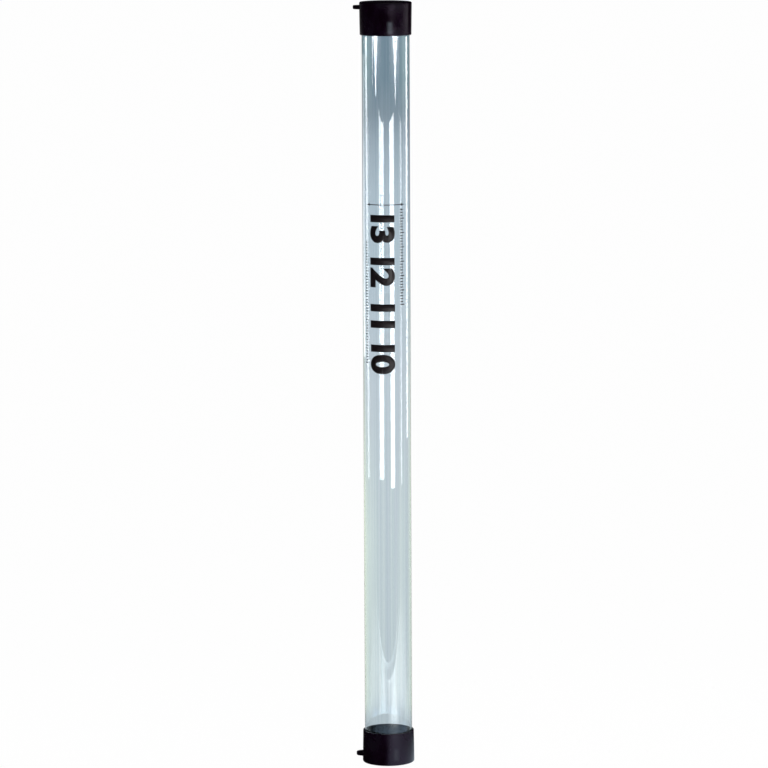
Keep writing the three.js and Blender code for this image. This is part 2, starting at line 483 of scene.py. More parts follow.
def tongue_side(margin):
    """Half of a tongue's outline from its hinge line to its tip, grown by a margin."""
    tip = TONGUE_TIP_RADIUS + margin
    root = TONGUE_ROOT_HALF + margin
    centre = TONGUE_LENGTH - TONGUE_TIP_RADIUS
    lean = math.acos(tip / math.hypot(root, centre)) - math.atan2(centre, root)
    tangent = math.pi / 2 - lean
    places = [(0, root)]
    for k in range(TIP_STEPS + 1):
        turn = tangent * (1 - k / TIP_STEPS)
        places.append((centre + tip * math.cos(turn), tip * math.sin(turn)))
    return places


print("hinge at radius", round(HINGE_RADIUS / MM, 2), "height", round(HINGE_HEIGHT / MM, 2), "mm")

# %% [markdown]
# The sleeve is turned like the tube and then cut with eight prisms at once. Cutting keeps the wall's true
# thickness in the sides of each window, where light falls in.

# %% Retainer sleeve
WINDOW_GAP = 0.5 * MM
SLEEVE_END_ROUND = 0.3 * MM
SLEEVE_STEP_ROUND = 0.2 * MM
SLEEVE_INSET = 0.4 * MM
SLEEVE_RING_SPACING = 5 * MM


def window_tool():
    """Eight prisms, one for each window."""
    build = bmesh.new()
    side = [(FLANGE_TOP - HINGE_HEIGHT, TONGUE_ROOT_HALF + WINDOW_GAP)] + tongue_side(WINDOW_GAP)
    ring = side + [(along, -half) for along, half in reversed(side[:-1])]
    for number in range(TONGUE_COUNT):
        turn = Matrix.Rotation(2 * math.pi * number / TONGUE_COUNT, 4, "Z")
        ends = []
        for radius in (MOUTH_RADIUS - CUT_OVERRUN, TUBE_RADIUS + CUT_OVERRUN):
            places = [Vector((radius, half, HINGE_HEIGHT + along)) for along, half in ring]
            ends.append([build.verts.new(turn @ place) for place in places])
        build.faces.new(ends[0])
        build.faces.new(ends[1])
        for k in range(len(ring)):
            build.faces.new((ends[0][k - 1], ends[0][k], ends[1][k], ends[1][k - 1]))
    return piece_from("window_tool", build)


sleeve_high = SLEEVE_TOP - SLEEVE_INSET
outer_wall = upright_wall(TUBE_RADIUS, SLEEVE_BASE + SLEEVE_INSET, sleeve_high, SLEEVE_RING_SPACING)
inner_wall = upright_wall(BORE_RADIUS, FLANGE_TOP + SLEEVE_INSET, sleeve_high, SLEEVE_RING_SPACING)
sleeve = revolve("retainer_sleeve", soften([
    (MOUTH_RADIUS, SLEEVE_BASE, SLEEVE_END_ROUND),
    (TUBE_RADIUS, SLEEVE_BASE, SLEEVE_END_ROUND),
    *outer_wall,
    (TUBE_RADIUS, SLEEVE_TOP, SLEEVE_END_ROUND),
    (BORE_RADIUS, SLEEVE_TOP, SLEEVE_END_ROUND),
    *reversed(inner_wall),
    (BORE_RADIUS, FLANGE_TOP, SLEEVE_STEP_ROUND),
    (MOUTH_RADIUS, FLANGE_TOP, SLEEVE_STEP_ROUND),
], steps=4))
shaped(sleeve, window_tool(), "DIFFERENCE")
smooth_faces(sleeve)
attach(sleeve, "collar")
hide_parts("retainer_insert")
print("retainer sleeve:", len(sleeve.data.polygons), "faces")

# %% [markdown]
# The eight tongues are the part that does the work. Each one is thin, tapers in width and in thickness,
# ends in half a circle that slides softly over a ball's felt, and has a round heel where it bends. One
# mesh is made and turned to the eight places, and each copy rides on its own hinged body.

# %% Tongues
TONGUE_EDGE_ROUND = 0.3 * MM
HEEL_STEPS = 6


def tongue_outline(inset):
    """Half of a tongue's outline with its round heel, drawn in by an inset."""
    turns = [math.pi / 2 * k / HEEL_STEPS for k in range(HEEL_STEPS)]
    heel = [(-TONGUE_HEEL * math.cos(turn), TONGUE_ROOT_HALF - inset) for turn in turns]
    return heel + tongue_side(-inset)


def tongue_low(along):
    """Height of the lower face, round at the heel and flat beyond it."""
    return -math.sqrt(max(0.0, TONGUE_HEEL ** 2 - min(along, 0) ** 2))


def tongue_high(along):
    """Height of the upper face, round at the heel and sloping down to the tip."""
    if along < 0:
        return -tongue_low(along)
    return TONGUE_HEEL + (TONGUE_TIP_TOP - TONGUE_HEEL) * along / TONGUE_LENGTH


pattern_build = soft_plate(tongue_outline, tongue_low, tongue_high, TONGUE_EDGE_ROUND)
pattern = piece_from("tongue_pattern", pattern_build)
at_hinge = Matrix.Translation((HINGE_RADIUS, 0, HINGE_HEIGHT))
pattern.data.transform(at_hinge @ Matrix.Rotation(math.pi, 4, "Z"))
tongues = []
for number in range(TONGUE_COUNT):
    blade = bpy.data.objects.new(f"spring_tongue_{number + 1}", pattern.data.copy())
    bpy.context.scene.collection.objects.link(blade)
    blade.data.transform(Matrix.Rotation(2 * math.pi * number / TONGUE_COUNT, 4, "Z"))
    smooth_faces(blade)
    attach(blade, f"tongue_body_{number + 1}")
    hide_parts(f"tongue_{number + 1}")
    tongues.append(blade)
bpy.data.objects.remove(pattern)
print(len(tongues), "tongues of", len(tongues[0].data.polygons), "faces")

# %% [markdown]
# The tube carries black printing on its front. Here that place holds a plain scale that counts the balls:
# big numerals, each at the height of its ball, a line with two arrowheads round the front, and rows of fine
# ticks. Ink is a film, so each mark is a flat shape that is cut into narrow strips, bent round the tube and
# given a few hundredths of a millimetre of thickness.

# %% Helpers that print on the tube
INK_CLEARANCE = 0.02 * MM
INK_THICKNESS = 0.03 * MM
STRIP_WIDTH = 1.0 * MM


def bent_round(build, azimuth, height):
    """Bends a flat mark round the tube: X runs to the right round the front and Y runs up."""
    cuts = int(max(abs(v.co.x) for v in build.verts) / STRIP_WIDTH)
    for k in range(-cuts, cuts + 1):
        everything = build.verts[:] + build.edges[:] + build.faces[:]
        cut_place = (k * STRIP_WIDTH, 0, 0)
        bmesh.ops.bisect_plane(build, geom=everything, plane_co=cut_place, plane_no=(1, 0, 0))
    radius = TUBE_RADIUS + INK_CLEARANCE
    for vertex in build.verts:
        turn = azimuth + vertex.co.x / TUBE_RADIUS
        vertex.co = Vector((radius * math.sin(turn), -radius * math.cos(turn), height + vertex.co.y))
    return build


def rectangles(marks):
    """A flat shape made of (left, right, low, high) rectangles."""
    build = bmesh.new()
    for left, right, low, high in marks:
        corners = ((left, low), (right, low), (right, high), (left, high))
        build.faces.new([build.verts.new((x, y, 0)) for x, y in corners])
    return build


def ink_piece(name, builds):
    """Joins bent marks into one film of ink that rides with the tube."""
    whole = bmesh.new()
    for build in builds:
        sheet = bpy.data.meshes.new("mark")
        build.to_mesh(sheet)
        build.free()
        whole.from_mesh(sheet)
        bpy.data.meshes.remove(sheet)
    for face in whole.faces:
        middle = face.calc_center_median()
        if face.normal.dot(Vector((middle.x, middle.y, 0))) < 0:
            face.normal_flip()
    mesh = bpy.data.meshes.new(name)
    whole.to_mesh(mesh)
    whole.free()
    film = bpy.data.objects.new(name, mesh)
    bpy.context.scene.collection.objects.link(film)
    body = film.modifiers.new("ink thickness", "SOLIDIFY")
    body.thickness = INK_THICKNESS
    body.offset = 1
    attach(film, "tube")
    return film


# %% [markdown]
# The numerals use Blender's own plain font, made heavier by growing its outline. They read downwards, with
# their tops to the right, because a tall narrow tube has no room for big figures across it. Each stands at
# the centre of the ball that it counts.

# %% Ball scale numerals
BALL_DIAMETER = 66.7 * MM
FIRST_BALL_CENTRE = 33.7 * MM
NUMERAL_HEIGHT = 40 * MM
NUMERAL_STRETCH = 1.12
NUMERAL_BOLDNESS = 0.05
NUMERAL_SPACING = 0.88
NUMERAL_SMOOTHNESS = 8
NUMERAL_AZIMUTH = math.radians(-11)
COUNTS_SHOWN = (10, 11, 12, 13)


def numeral(text, height):
    """A flat numeral whose top points to the right, with its middle at the origin."""
    drawing = bpy.data.curves.new("numeral", "FONT")
    drawing.body = text
    drawing.align_x = "CENTER"
    drawing.offset = NUMERAL_BOLDNESS
    drawing.space_character = NUMERAL_SPACING
    drawing.resolution_u = NUMERAL_SMOOTHNESS
    holder = bpy.data.objects.new("numeral", drawing)
    bpy.context.scene.collection.objects.link(holder)
    bpy.context.view_layer.update()
    drawn = holder.evaluated_get(bpy.context.evaluated_depsgraph_get())
    flat = bpy.data.meshes.new_from_object(drawn)
    bpy.data.objects.remove(holder)
    build = bmesh.new()
    build.from_mesh(flat)
    bpy.data.meshes.remove(flat)
    low = min(v.co.y for v in build.verts)
    high = max(v.co.y for v in build.verts)
    left = min(v.co.x for v in build.verts)
    right = max(v.co.x for v in build.verts)
    scale = height / (high - low)
    for vertex in build.verts:
        x, y = vertex.co.x - (left + right) / 2, vertex.co.y - (low + high) / 2
        vertex.co = Vector((y * scale, -x * scale * NUMERAL_STRETCH, 0))
    return build


numerals = []
for count in COUNTS_SHOWN:
    ball_height = FIRST_BALL_CENTRE + (count - 1) * BALL_DIAMETER
    flat_numeral = numeral(str(count), NUMERAL_HEIGHT)
    numerals.append(bent_round(flat_numeral, NUMERAL_AZIMUTH, ball_height))
    print("numeral", count, "at", round(ball_height / MM), "mm")
scale_numerals = ink_piece("scale_numerals", numerals)

# %% [markdown]
# The fine marks frame the numerals. A thin line with an arrowhead at each end runs round the front above
# them, and a rule of short ticks stands on either side, with every fifth tick longer, as on a ruler. Such
# marks are plain rectangles, so lists of their four edges are all that is needed.

# %% Scale line, arrowheads and ticks
LINE_HEIGHT = 871 * MM
LINE_HALF = 31 * MM
LINE_HALF_WIDTH = 0.6 * MM
LINE_AZIMUTH = math.radians(-3)
ARROW_LENGTH = 5 * MM
ARROW_HALF = 2.4 * MM
TICK_SPACING = 4.4 * MM
LONG_TICK_EVERY = 5
RIGHT_RULE_AZIMUTH = math.radians(41)
RIGHT_RULE_LOW = 718 * MM
LEFT_RULE_AZIMUTH = math.radians(-56)
LEFT_RULE_LOW = 628 * MM


def rule(count, fixed_end, short_end, long_end, half_width):
    """A rule of ticks, each from its fixed end to its short end, or to its long end for every fifth."""
    marks = []
    for k in range(count):
        free_end = short_end if k % LONG_TICK_EVERY else long_end
        left, right = sorted((fixed_end, free_end))
        middle = k * TICK_SPACING
        marks.append((left, right, middle - half_width, middle + half_width))
    return rectangles(marks)


line_build = rectangles([(-LINE_HALF, LINE_HALF, -LINE_HALF_WIDTH, LINE_HALF_WIDTH)])
for side in (-1, 1):
    barb = side * (LINE_HALF - ARROW_LENGTH)
    corners = ((side * LINE_HALF, 0), (barb, ARROW_HALF), (barb, -ARROW_HALF))
    line_build.faces.new([line_build.verts.new((x, y, 0)) for x, y in corners])
right_rule = rule(
    count=34, fixed_end=-3.6 * MM, short_end=1.4 * MM, long_end=3.6 * MM, half_width=0.9 * MM,
)
left_rule = rule(
    count=43, fixed_end=2.0 * MM, short_end=-1.2 * MM, long_end=-2.4 * MM, half_width=0.8 * MM,
)
scale_rules = ink_piece("scale_rules", [
    bent_round(line_build, LINE_AZIMUTH, LINE_HEIGHT),
    bent_round(right_rule, RIGHT_RULE_AZIMUTH, RIGHT_RULE_LOW),
    bent_round(left_rule, LEFT_RULE_AZIMUTH, LEFT_RULE_LOW),
])
print("scale line at", round(LINE_HEIGHT / MM), "mm")

# %% [markdown]
# Every finish is made of nodes. Small helpers keep the node code short: one makes a node and sets or
# links its inputs, one starts a material, and one raises the surface by a map of heights.

# %% Helpers for finishes
def add_node(tree, kind, inputs=None, **settings):
    """Makes a node, sets its options, and sets or links its inputs."""
    made = tree.nodes.new(kind)
    for name, value in settings.items():
        setattr(made, name, value)
    for name, value in (inputs or {}).items():
        if isinstance(value, bpy.types.NodeSocket):
            tree.links.new(value, made.inputs[name])
        else:
            made.inputs[name].default_value = value
    return made


def start_finish(name):
    """A new material, its node tree and its shader."""
    material = bpy.data.materials.new(name)
    material.use_nodes = True
    return material, material.node_tree, material.node_tree.nodes["Principled BSDF"]


def bump(tree, height, strength, depth, below=None):
    """Raises the surface by a height map, on top of another bump where one is given."""
    made = add_node(tree, "ShaderNodeBump", {"Height": height, "Strength": strength, "Distance": depth})
    if below is not None:
        tree.links.new(below, made.inputs["Normal"])
    return made.outputs["Normal"]


# %% [markdown]
# Noise gives every finish its small unevenness. It could come from painted images, but noise made by
# nodes has no seam and no limit of sharpness. It is drawn in the piece's own coordinates, so it moves
# with the piece, and it can be stretched, because extruding and sliding leave marks in one direction.

# %% Helpers for noise and colours
def stretched_noise(tree, stretch, scale, detail=2.0, roughness=0.5):
    """Noise in the piece's own coordinates, stretched by three factors."""
    place = add_node(tree, "ShaderNodeTexCoord").outputs["Object"]
    mapping = add_node(tree, "ShaderNodeMapping", {"Vector": place, "Scale": stretch})
    inputs = {"Vector": mapping.outputs["Vector"], "Scale": scale, "Detail": detail, "Roughness": roughness}
    return add_node(tree, "ShaderNodeTexNoise", inputs).outputs["Fac"]


def grey(value):
    """A colour without a tint."""
    return (value, value, value)


def ramp(tree, value, stops):
    """Maps a value to colours, from (position, colour) stops."""
    made = add_node(tree, "ShaderNodeValToRGB", {"Fac": value})
    marks = made.color_ramp.elements
    while len(marks) < len(stops):
        marks.new(0.5)
    for mark, (position, colour) in zip(marks, stops):
        mark.position = position
        mark.color = (*colour, 1)
    return made.outputs["Color"]


def mixed_colour(tree, share, first, second):
    """A colour between two others, by a share from 0 to 1."""
    inputs = {"Factor": share, "A": first, "B": second}
    return add_node(tree, "ShaderNodeMix", inputs, data_type="RGBA").outputs["Result"]


# %% [markdown]
# Marks, shadows and lit places need a little arithmetic. Each helper here makes one step of it, and the
# smooth steps up and down draw soft edges, because hardly anything on a real object begins at a sharp
# line.

# %% Helpers for arithmetic
def calculate(tree, operation, *values):
    """One step of arithmetic on numbers or sockets."""
    return add_node(tree, "ShaderNodeMath", dict(enumerate(values)), operation=operation).outputs[0]


def product(tree, first, *others):
    """Multiplies numbers or sockets one after another."""
    for other in others:
        first = calculate(tree, "MULTIPLY", first, other)
    return first


def rise(tree, value, low, high):
    """A smooth step from 0 at low to 1 at high."""
    inputs = {"Value": value, "From Min": low, "From Max": high, "To Min": 0.0, "To Max": 1.0}
    return add_node(tree, "ShaderNodeMapRange", inputs, interpolation_type="SMOOTHSTEP").outputs["Result"]


def fall(tree, value, low, high):
    """A smooth step from 1 at low down to 0 at high."""
    return calculate(tree, "SUBTRACT", 1.0, rise(tree, value, low, high))


# %% [markdown]
# Clear extruded plastic is smooth, but never perfect. It carries fine lines along its length from the
# die, a slow waviness that bends reflections a little, and a few rubbed places. The colour is nearly
# white, with a breath of blue-grey along the die's lines. A stronger tint would be too much, because
# light crosses the wall twice on its way through the tube.

# %% Clear plastic finish
PLASTIC_INDEX = 1.53
DIE_LINE_TINT = (0.885, 0.92, 0.935)
RUBBED_HAZE = 0.06

clear, tree, shader = start_finish("clear_plastic")
shader.inputs["Transmission Weight"].default_value = 1
shader.inputs["IOR"].default_value = PLASTIC_INDEX
shader.inputs["Specular IOR Level"].default_value = 0.5
die_lines = stretched_noise(tree, (1, 1, 0), 420, detail=2)
die_ridges = ramp(tree, die_lines, [(0.66, grey(0.0)), (0.74, grey(1.0))])
slow_waves = stretched_noise(tree, (1, 1, 0.25), 22, detail=1)
rubbing = stretched_noise(tree, (1, 1, 0.4), 60, detail=4, roughness=0.7)
tint = ramp(tree, die_lines, [(0.35, DIE_LINE_TINT), (0.65, grey(1.0))])
tree.links.new(tint, shader.inputs["Base Color"])
haze = ramp(tree, rubbing, [(0.55, grey(0.0)), (0.8, grey(RUBBED_HAZE))])
tree.links.new(haze, shader.inputs["Roughness"])
fine_bump = bump(tree, die_ridges, 0.15, 0.04 * MM)
tree.links.new(bump(tree, slow_waves, 0.03, 2 * MM, fine_bump), shader.inputs["Normal"])
tube.data.materials.append(clear)
print("clear plastic:", len(tree.nodes), "nodes")

# %% [markdown]
# The caps are black vinyl. Each shows one light place on its front, and that place is a painted highlight:
# the soft reflection of the softbox, painted into the cap's colour. It could be painted as an image, but a
# soft-edged patch of paler colour, placed by the piece's own coordinates, is enough for its size.

# %% Helper for painted highlights
def rubbed_mark(tree, left, right, low, high, edge):
    """A soft-edged painted highlight on the front of a piece, 1 inside and 0 outside."""
    place = add_node(tree, "ShaderNodeTexCoord").outputs["Object"]
    along = add_node(tree, "ShaderNodeSeparateXYZ", {0: place}).outputs
    inside = calculate(tree, "LESS_THAN", along[1], 0.0)
    for value, start, end in ((along[0], left, right), (along[2], low, high)):
        inside = product(tree, inside, rise(tree, value, start - edge, start + edge))
        inside = product(tree, inside, rise(tree, value, end + edge, end - edge))
    return inside


# %% [markdown]
# Under a magnifier the vinyl's skin has a fine grain. Its shade and gloss are patchy where hands have
# polished it, and fine scuffs run round it. One slow noise drives shade, gloss and a slight waviness
# together, as all three come from the same wear.

# %% Soft black finish
VINYL_STOPS = [
    (0.36, (0.0030, 0.0003, 0.0030)),
    (0.50, (0.0048, 0.0012, 0.0060)),
    (0.66, (0.0065, 0.0048, 0.0090)),
]
SCUFF_COLOUR = (0.0120, 0.0105, 0.0150, 1)
# Painted highlight: a pale blue-grey colour, and the places on the front of each cap where it stands in for
# the softbox's reflection.
HIGHLIGHT_COLOUR = (0.056, 0.066, 0.076, 1)
UPPER_HIGHLIGHT = (3 * MM, 10 * MM, TOP_END - 47 * MM, TOP_END - 29 * MM, 2.6 * MM)
LOWER_HIGHLIGHT = (9 * MM, 15 * MM, 8 * MM, 26 * MM, 4 * MM)
LOWER_HIGHLIGHT_SHARE = 0.35

vinyl, tree, shader = start_finish("soft_black_vinyl")
shader.inputs["Specular IOR Level"].default_value = 0.3
shader.inputs["Specular Tint"].default_value = (0.93, 0.77, 1.0, 1)
grain = stretched_noise(tree, (1, 1, 1), 2600, detail=2)
patches = stretched_noise(tree, (1, 1, 0.6), 38, detail=3)
scuffs = stretched_noise(tree, (1, 1, 5), 160, detail=5, roughness=0.75)
scuffed = ramp(tree, scuffs, [(0.60, grey(0.0)), (0.78, grey(1.0))])
shade = mixed_colour(tree, scuffed, ramp(tree, patches, VINYL_STOPS), SCUFF_COLOUR)
# The two painted highlights are mixed into the vinyl's colour, with the lower cap's one weaker.
upper_highlight = rubbed_mark(tree, *UPPER_HIGHLIGHT)
lower_highlight = rubbed_mark(tree, *LOWER_HIGHLIGHT)
marks = calculate(tree, "MULTIPLY_ADD", lower_highlight, LOWER_HIGHLIGHT_SHARE, upper_highlight)
tree.links.new(mixed_colour(tree, marks, shade, HIGHLIGHT_COLOUR), shader.inputs["Base Color"])
gloss = ramp(tree, patches, [(0.36, grey(0.18)), (0.64, grey(0.34))])
tree.links.new(gloss, shader.inputs["Roughness"])
grain_bump = bump(tree, grain, 0.12, 0.2 * MM)
tree.links.new(bump(tree, patches, 0.2, 1 * MM, grain_bump), shader.inputs["Normal"])
for cap in (lower_cap, upper_cap):
    cap.data.materials.append(vinyl)
print("soft black:", len(tree.nodes), "nodes")

# %% [markdown]
# The retainer is a harder black plastic with a satin skin. The tongues are of the same plastic, polished
# a little by the balls that slide over them, so their grain is finer and their gloss higher. The two
# finishes differ only in their numbers, so one function makes both.

# %% Retainer and tongue finishes
def hard_black_plastic(name, scale, shades, glosses, strength, depth):
    """Black plastic whose shade, gloss and skin all follow one grain."""
    finish, tree, shader = start_finish(name)
    grain = stretched_noise(tree, (1, 1, 1), scale, detail=3)
    for socket, (low, high) in (("Base Color", shades), ("Roughness", glosses)):
        level = ramp(tree, grain, [(0.3, grey(low)), (0.7, grey(high))])
        tree.links.new(level, shader.inputs[socket])
    tree.links.new(bump(tree, grain, strength, depth), shader.inputs["Normal"])
    return finish


satin = hard_black_plastic("satin_black_plastic", 300, (0.014, 0.022), (0.3, 0.42), 0.1, 0.3 * MM)
spring = hard_black_plastic("spring_plastic", 700, (0.018, 0.028), (0.24, 0.38), 0.08, 0.2 * MM)
sleeve.data.materials.append(satin)
for blade in tongues:
    blade.data.materials.append(spring)
print("retainer finishes:", satin.name, "and", spring.name)

# %% [markdown]
# Printing ink on plastic dries to a dense, slightly warm black with a low gloss. Where the film is thin
# it lets a little more light back, so the colour varies over a few millimetres.

# %% Ink finish
DENSE_INK = (0.004, 0.002, 0.003)
THIN_INK = (0.012, 0.007, 0.009)

ink, tree, shader = start_finish("printing_ink")
density = stretched_noise(tree, (1, 1, 1), 420, detail=4)
tree.links.new(ramp(tree, density, [(0.3, DENSE_INK), (0.75, THIN_INK)]), shader.inputs["Base Color"])
tree.links.new(ramp(tree, density, [(0.3, grey(0.45)), (0.7, grey(0.6))]), shader.inputs["Roughness"])
tree.links.new(bump(tree, density, 0.05, 0.1 * MM), shader.inputs["Normal"])
for film in (scale_numerals, scale_rules):
    film.data.materials.append(ink)
print("ink:", len(tree.nodes), "nodes")

# %% [markdown]
# A clear tube shows nothing of its own: it shows the floor through its walls and the lamps in them. The
# photograph has a white ground, yet through the tube the ground is grey-blue, darker with distance. So
# the floor and the world are white to the camera and show another face to rays that come by way of the
# object.

# %% Helpers for the stage
def seen_from(tree, plain, glossy, through, camera_view):
    """Chooses a shader by what kind of ray asks for it."""
    path = add_node(tree, "ShaderNodeLightPath").outputs
    chosen = plain
    steps = (("Is Glossy Ray", glossy), ("Is Transmission Ray", through), ("Is Camera Ray", camera_view))
    for kind, view in steps:
        inputs = {0: path[kind], 1: chosen, 2: view}
        chosen = add_node(tree, "ShaderNodeMixShader", inputs).outputs[0]
    return chosen


def glow(tree, colour, strength=1.0):
    """An emission shader with a plain or a computed colour."""
    if not isinstance(colour, bpy.types.NodeSocket):
        colour = (*colour, 1)
    return add_node(tree, "ShaderNodeEmission", {"Color": colour, "Strength": strength}).outputs["Emission"]


def unlit_finish(name):
    """A new material with an empty node tree."""
    finish = bpy.data.materials.new(name)
    finish.use_nodes = True
    finish.node_tree.nodes.clear()
    return finish, finish.node_tree


def on_colours(tree, operation, first, second):
    """One step of arithmetic on two colours, or on a colour and the number that scales it."""
    inputs = {0: first, 3 if operation == "SCALE" else 1: second}
    return add_node(tree, "ShaderNodeVectorMath", inputs, operation=operation).outputs[0]


# %% [markdown]
# Everything on the floor is placed by two measures: how far a point lies from the tube's axis, and in
# which direction. A third measure tells the two walls of the tube apart. What the front wall mirrors has
# been seen through two faces of plastic, and what the back wall mirrors through four or more.

# %% Places on the floor
BETWEEN_WALLS = 2.5

floor_finish, tree = unlit_finish("white_floor")
place = add_node(tree, "ShaderNodeNewGeometry").outputs["Position"]
flat_place = on_colours(tree, "MULTIPLY", place, (1, 1, 0))
distance = add_node(tree, "ShaderNodeVectorMath", {0: flat_place}, operation="LENGTH").outputs["Value"]
place_parts = add_node(tree, "ShaderNodeSeparateXYZ", {0: place}).outputs
east, north = place_parts[0], place_parts[1]
sideways = calculate(tree, "DIVIDE", east, distance)
northwards = calculate(tree, "DIVIDE", north, distance)
off_axis = calculate(tree, "ABSOLUTE", sideways)
ray_path = add_node(tree, "ShaderNodeLightPath").outputs
by_back_wall = calculate(tree, "GREATER_THAN", ray_path["Transmission Depth"], BETWEEN_WALLS)
mirrored = calculate(tree, "MINIMUM", ray_path["Glossy Depth"], 1.0)


def by_distance(tree, reach, stops):
    """Maps the distance from the tube to colours, from (metres, colour) stops."""
    share = calculate(tree, "MULTIPLY", distance, 1 / reach)
    return ramp(tree, share, [(metres / reach, colour) for metres, colour in stops])


print("floor measures:", len(tree.nodes), "nodes")

# %% [markdown]
# The ground is what the middle of the tube shows. Each height on the tube looks through to its own
# distance on the floor, so the fall-off could be matched from the foot upwards: pale for some four
# metres, then sinking to a deep grey-blue beyond twelve, which shows under the top cap.

# %% Grey-blue ground
GROUND_REACH = 20
GROUND_STOPS = [
    (0.3, (0.55, 0.63, 0.68)),
    (2.5, (0.585, 0.66, 0.715)),
    (4.0, (0.60, 0.67, 0.73)),
    (6.6, (0.51, 0.61, 0.68)),
    (8.8, (0.485, 0.575, 0.645)),
    (10.6, (0.385, 0.465, 0.53)),
    (12.0, (0.265, 0.335, 0.39)),
    (14.0, (0.20, 0.28, 0.345)),
    (17.0, (0.20, 0.28, 0.35)),
]
# The grey-blue ground is painted light: the floor's glow fades with distance, as a room's light falls off
# away from its lamps.
fall_off = by_distance(tree, GROUND_REACH, GROUND_STOPS)
print("ground fades over", GROUND_STOPS[-1][0], "m")

# %% [markdown]
# Beside its middle the photograph's tube is a little lighter and warmer. The walls bend the view outwards
# there, so it is the ground beside the axis that shows. Three lights do this: one for the tube's flanks,
# one for its outermost edges, and one far away for the edges near the top.

# %% Warm light beside the axis
WARM_TINT = (1.0, 1.0, 0.5)
SIDE_SPREAD = 2.0
FLANK_STOPS = [
    (-0.09, 0.26), (-0.05, 0.15), (-0.0275, 0.11), (-0.014, 0.0), (0.02, 0.0),
    (0.0325, 0.12), (0.05, 0.12), (0.07, 0.07), (0.10, 0.02),
]
FLANK_REACH = 8
FLANK_SHARES = [(0.6, 0.35), (1.28, 0.62), (1.88, 0.75), (3.44, 0.5)]
FLANK_GAIN = 2.0
EDGE_LEVEL = 0.30
OUTER_EDGE_LEVEL = 0.45
FAR_LEVEL = 0.42

flank_place = calculate(tree, "MULTIPLY_ADD", sideways, SIDE_SPREAD, 0.5)
flank_stops = [(side * SIDE_SPREAD + 0.5, grey(level)) for side, level in FLANK_STOPS]
flank = ramp(tree, flank_place, flank_stops)
flank_share = by_distance(tree, FLANK_REACH, [(metres, grey(share)) for metres, share in FLANK_SHARES])
flank_ground = product(tree, rise(tree, distance, 0.2, 0.6), fall(tree, distance, 1.8, 4.5))
flank_ground = product(tree, flank_ground, product(tree, flank_share, FLANK_GAIN))
edge = product(tree, rise(tree, off_axis, 0.08, 0.17), EDGE_LEVEL)
edge = calculate(tree, "MULTIPLY_ADD", rise(tree, off_axis, 0.17, 0.35), OUTER_EDGE_LEVEL, edge)
edge = product(tree, edge, fall(tree, distance, 2.0, 8.0), rise(tree, distance, 0.25, 0.45))
far_edge = product(tree, rise(tree, off_axis, 0.022, 0.05), rise(tree, distance, 11.0, 15.0))
edge = calculate(tree, "MULTIPLY_ADD", far_edge, FAR_LEVEL, edge)
side_light = calculate(tree, "MULTIPLY_ADD", flank, flank_ground, edge)
side_light = product(tree, side_light, fall(tree, off_axis, 0.4, 0.7))
warmth = on_colours(tree, "ADD", on_colours(tree, "SCALE", WARM_TINT, side_light), (1, 1, 1))
ground = on_colours(tree, "MULTIPLY", fall_off, warmth)
print("ground and side light:", len(tree.nodes), "nodes")

# %% [markdown]
# A lit table top lies in front of the tube and to its right. It never shows directly, only in mirror
# images. A bright path runs over it under the softbox, and it ends in a straight front edge. Each wall
# turns that edge into a pointed arch, and the two arches near the foot of the tube are these. The back
# wall's arch is shaded a little differently, as in the photograph.

# %% Lit table
TABLE_FRONT = -0.668
EDGE_BLUR = 0.008
PATH_AZIMUTH = math.radians(28)
PATH_LEVEL = 4.4
RIGHT_LEVEL = 2.15
BACK_WALL_SHIFT = 0.1
FRONT_WALL_SHINE = 0.6
BACK_WALL_EXTRA = 0.5

shade_distance = calculate(tree, "MULTIPLY_ADD", by_back_wall, BACK_WALL_SHIFT, distance)
near_shade = calculate(tree, "MULTIPLY_ADD", rise(tree, shade_distance, 0.24, 0.58), 0.8, 0.2)
path_start = rise(tree, shade_distance, 0.24, 0.40)
eastern_part = product(tree, east, math.cos(PATH_AZIMUTH))
across_path = calculate(tree, "ADD", eastern_part, product(tree, north, math.sin(PATH_AZIMUTH)))
lit_path = fall(tree, calculate(tree, "ABSOLUTE", across_path), 0.02, 0.22)
lit_path = product(tree, lit_path, PATH_LEVEL)
on_table = rise(tree, north, TABLE_FRONT - EDGE_BLUR, TABLE_FRONT + EDGE_BLUR)
on_table = product(tree, on_table, fall(tree, north, 0.0, 0.2), fall(tree, distance, 0.5, 2.0))
edge_share = calculate(tree, "MULTIPLY_ADD", by_back_wall, BACK_WALL_EXTRA, FRONT_WALL_SHINE)
near_edge = rise(tree, north, TABLE_FRONT + 0.08, TABLE_FRONT + 0.01)
edge_shine = calculate(tree, "MULTIPLY_ADD", near_edge, edge_share, 1.0)
far_right = calculate(tree, "MULTIPLY_ADD", rise(tree, sideways, 0.75, 1.0), -0.3, 1.0)
right_side = product(tree, rise(tree, sideways, -0.16, 0.10), RIGHT_LEVEL)
right_side = product(tree, right_side, far_right)
table_tint = ramp(tree, distance, [(0.25, (0.84, 1.02, 1.16)), (0.42, (0.95, 1.02, 1.01))])


def table_seen(level, path_share):
    """The table's colour at a general level, with a share of the lit path over it."""
    shaded = product(tree, level, near_shade, edge_shine)
    brighter = calculate(tree, "MAXIMUM", shaded, product(tree, lit_path, path_share))
    return on_colours(tree, "SCALE", table_tint, product(tree, on_table, brighter))


print("table edge", -TABLE_FRONT, "m in front of the axis")

# %% [markdown]
# Plain mirror rays come from the caps and from the tube's outer face. They see a dark room with the table
# in it. A glow close to the lower cap gives that cap its soft right side, and a weaker one behind the
# tube keeps the form of both caps in the views from the back.

# %% What plain mirrors show
NEAR_CAP_LEVEL = 0.8
BEHIND_LEVEL = 0.3
DARKEST_LEVEL = 0.008
NEAR_PATH_SHARE = 0.26

